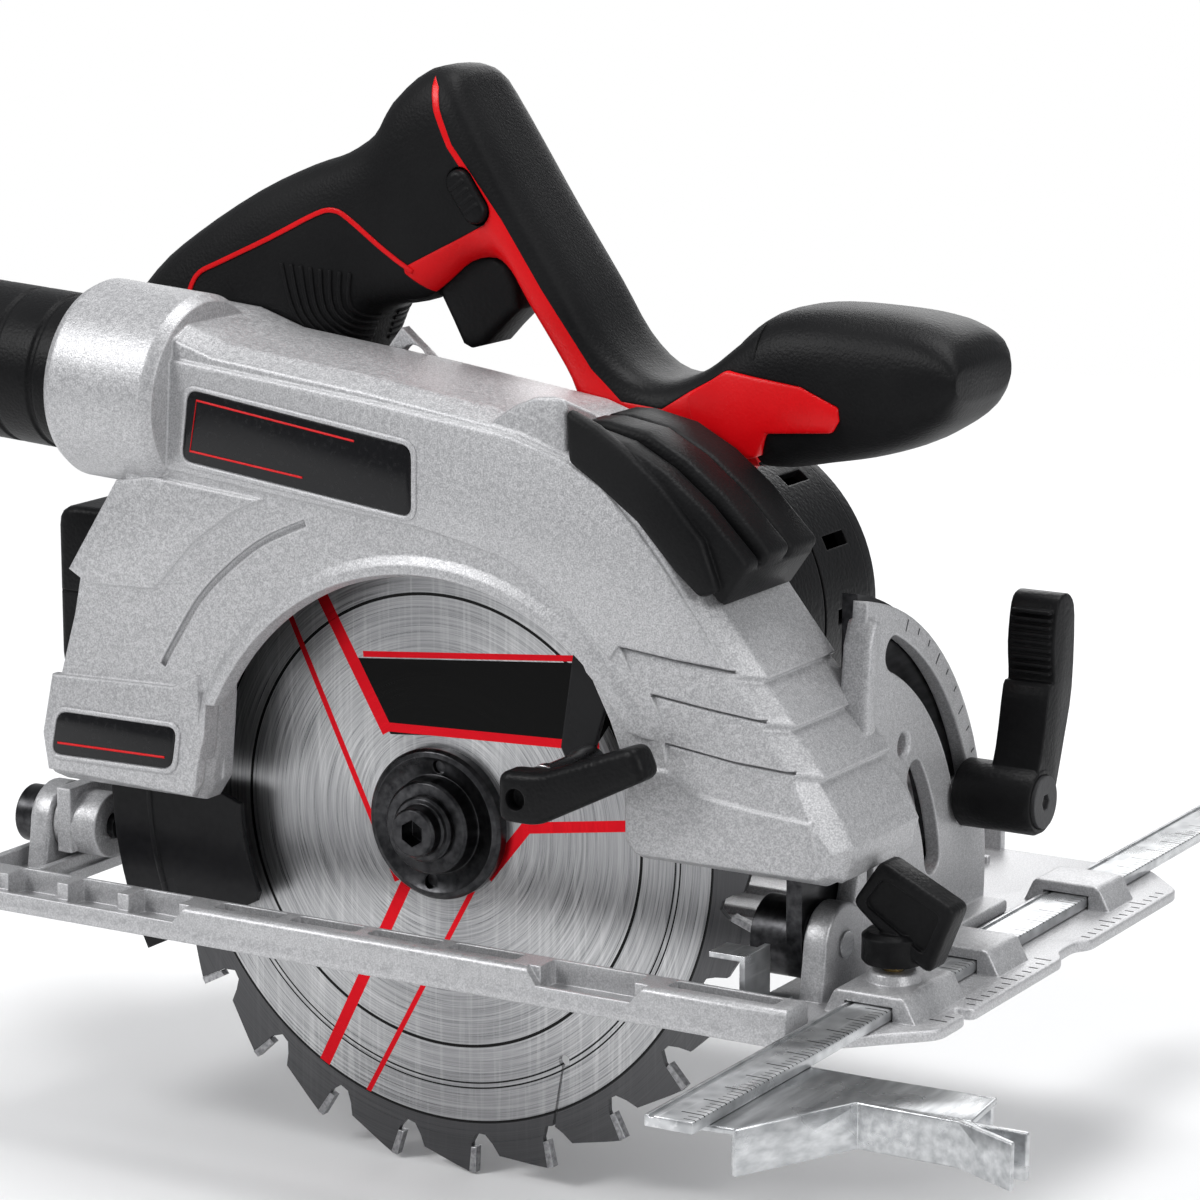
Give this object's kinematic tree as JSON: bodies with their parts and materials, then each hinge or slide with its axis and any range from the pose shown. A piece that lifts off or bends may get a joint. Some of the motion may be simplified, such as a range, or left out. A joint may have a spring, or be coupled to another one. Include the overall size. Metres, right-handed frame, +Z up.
{
  "type": "circular saw",
  "caption": "Cordless hand-held circular saw with cast blade guard, swinging lower guard, tilting base, depth stop, rip fence, side motor, looped handle and slide-on battery.",
  "frame": {"origin": "on the sole, midway across the base plate, straight below the blade spindle", "axes": "+X forward along the cut, +Y from the blade towards the motor, +Z up from the sole"},
  "size_m": [0.3758, 0.322, 0.2892],
  "materials": {
    "cast_alloy": "fine-grained silver coating on cast alloy",
    "base_alloy": "bare cast alloy, blasted",
    "black_plastic": "pebbled moulding",
    "soft_grip": "soft matt overmould",
    "red_plastic": "satin moulding",
    "blade_steel": "brushed in circles, with dark toothed rim and printed stripes",
    "carbide": "ground carbide",
    "black_steel": "black oxide",
    "bright_steel": "turned steel",
    "zinc_plate": "bright zinc plating",
    "brass_plate": "yellow zinc plating",
    "badge": "printed label",
    "gear_steel": "hobbed steel",
    "winding": "lacquered copper over laminations",
    "lever_cap": "grey moulding",
    "cell_wrap": "shrink-wrapped cell",
    "board": "circuit board"
  },
  "bodies": {
    "base": {"base_plate": "base_alloy", "bevel_quadrant": "cast_alloy", "front_pivot_pin": "bright_steel", "rear_pivot_pin": "black_steel", "cut_pointer": "zinc_plate"},
    "hex_key": {"hex_key": "black_steel"},
    "fence": {"fence_bar": "zinc_plate", "fence_foot": "zinc_plate"},
    "fence_clamp": {"fence_knob": "black_plastic", "fence_screw": "brass_plate"},
    "tilt_frame": {"tilt_bracket": "black_steel", "rear_bracket": "cast_alloy", "depth_pivot_pin": "bright_steel", "bevel_bolt": "bright_steel"},
    "bevel_lever": {"bevel_lever": "black_plastic", "bevel_lever_cap": "lever_cap"},
    "head": {"upper_guard": "cast_alloy", "guard_back_plate": "cast_alloy", "front_bumper": "soft_grip", "badges": "badge", "gear_case": "cast_alloy", "motor_housing": "black_plastic", "motor_end_cap": "black_plastic", "stator": "winding", "spindle_bearings": "bright_steel", "motor_bearings": "bright_steel", "housing_screws": "bright_steel", "handle_right": "red_plastic", "handle_left": "red_plastic", "grip_overmould": "soft_grip", "knob_overmould": "soft_grip", "switch_module": "black_plastic", "battery_mount": "black_plastic", "terminal_block": "black_plastic", "control_board": "board", "depth_bolt": "bright_steel", "guard_spring": "gear_steel"},
    "spindle": {"spindle": "gear_steel", "drive_gear": "gear_steel", "inner_flange": "black_steel", "outer_flange": "black_steel", "blade": "blade_steel", "blade_tips": "carbide", "blade_bolt": "black_steel"},
    "idler": {"idler_gear": "gear_steel"},
    "rotor": {"rotor": "gear_steel", "motor_shaft": "bright_steel", "fan": "black_plastic", "pinion": "gear_steel"},
    "lower_guard": {"lower_guard": "black_steel", "guard_stem": "bright_steel", "guard_lever": "black_plastic"},
    "trigger": {"trigger": "black_plastic"},
    "lock_off": {"lock_off_button": "black_plastic"},
    "spindle_lock": {"spindle_lock": "black_plastic"},
    "dust_adapter": {"dust_adapter": "black_plastic"},
    "battery": {"battery_case": "black_plastic", "battery_cells": "cell_wrap"},
    "battery_latch": {"battery_latch": "red_plastic"},
    "depth_lever": {"depth_lever": "black_plastic"}
  },
  "joints": [
    {"name": "bevel_tilt", "type": "hinge", "parent": "base", "child": "tilt_frame", "pos_m": [0, -0.0505, 0.015], "axis": [1, 0, 0], "range_deg": [0, 45]},
    {"name": "depth_swing", "type": "hinge", "parent": "tilt_frame", "child": "head", "pos_m": [0.116, -0.0485, 0.044], "axis": [0, 1, 0], "range_deg": [0, 33]},
    {"name": "bevel_lever_swing", "type": "hinge", "parent": "tilt_frame", "child": "bevel_lever", "pos_m": [0.13, 0.01968, 0.03848], "axis": [1, 0, 0], "range_deg": [0, 50]},
    {"name": "fence_slide", "type": "slide", "parent": "base", "child": "fence", "axis": [0, 1, 0], "range_m": [-0.15, 0.012]},
    {"name": "fence_clamp_turn", "type": "hinge", "parent": "base", "child": "fence_clamp", "pos_m": [0.1347, -0.054, 0.015], "axis": [0, 0, 1], "range_deg": [-24, 24]},
    {"name": "hex_key_slide", "type": "slide", "parent": "base", "child": "hex_key", "axis": [1, 0, 0], "range_m": [0, 0.06]},
    {"name": "blade_spin", "type": "hinge", "parent": "head", "child": "spindle", "pos_m": [0, -0.0485, 0.03], "axis": [0, 1, 0], "continuous": true},
    {"name": "idler_spin", "type": "hinge", "parent": "head", "child": "idler", "pos_m": [0.02563, -0.0245, 0.05563], "axis": [0, 1, 0], "continuous": true},
    {"name": "rotor_spin", "type": "hinge", "parent": "head", "child": "rotor", "pos_m": [0.02094, 0.0115, 0.07443], "axis": [0, 1, 0], "continuous": true},
    {"name": "lower_guard_swing", "type": "hinge", "parent": "head", "child": "lower_guard", "pos_m": [0, -0.0485, 0.03], "axis": [0, 1, 0], "range_deg": [-115, 0], "stiffness_Nm_per_rad": 0.12, "springref_deg": -120.32},
    {"name": "trigger_pull", "type": "hinge", "parent": "head", "child": "trigger", "pos_m": [0.003, -0.0175, 0.168], "axis": [0, 1, 0], "range_deg": [0, 10], "stiffness_Nm_per_rad": 1.2},
    {"name": "lock_off_push", "type": "slide", "parent": "head", "child": "lock_off", "axis": [0, 1, 0], "range_m": [0, 0.0022], "stiffness_N_per_m": 800},
    {"name": "spindle_lock_push", "type": "slide", "parent": "head", "child": "spindle_lock", "axis": [-1, 0, 0], "range_m": [0, 0.003], "stiffness_N_per_m": 800},
    {"name": "dust_adapter_slide", "type": "slide", "parent": "head", "child": "dust_adapter", "axis": [-0.998, 0, 0.0628], "range_m": [0, 0.03]},
    {"name": "battery_slide", "type": "slide", "parent": "head", "child": "battery", "axis": [-1, 0, 0], "range_m": [0, 0.09]},
    {"name": "battery_latch_push", "type": "slide", "parent": "battery", "child": "battery_latch", "axis": [1, 0, 0], "range_m": [0, 0.002], "stiffness_N_per_m": 800},
    {"name": "depth_lever_swing", "type": "hinge", "parent": "head", "child": "depth_lever", "pos_m": [-0.05381, -0.0235, 0.05201], "axis": [0, 1, 0], "range_deg": [-30, 0]}
  ],
  "couplings": [
    {"joint": "idler_spin", "follows": "blade_spin", "ratio": -1.6364},
    {"joint": "rotor_spin", "follows": "blade_spin", "ratio": 4}
  ]
}
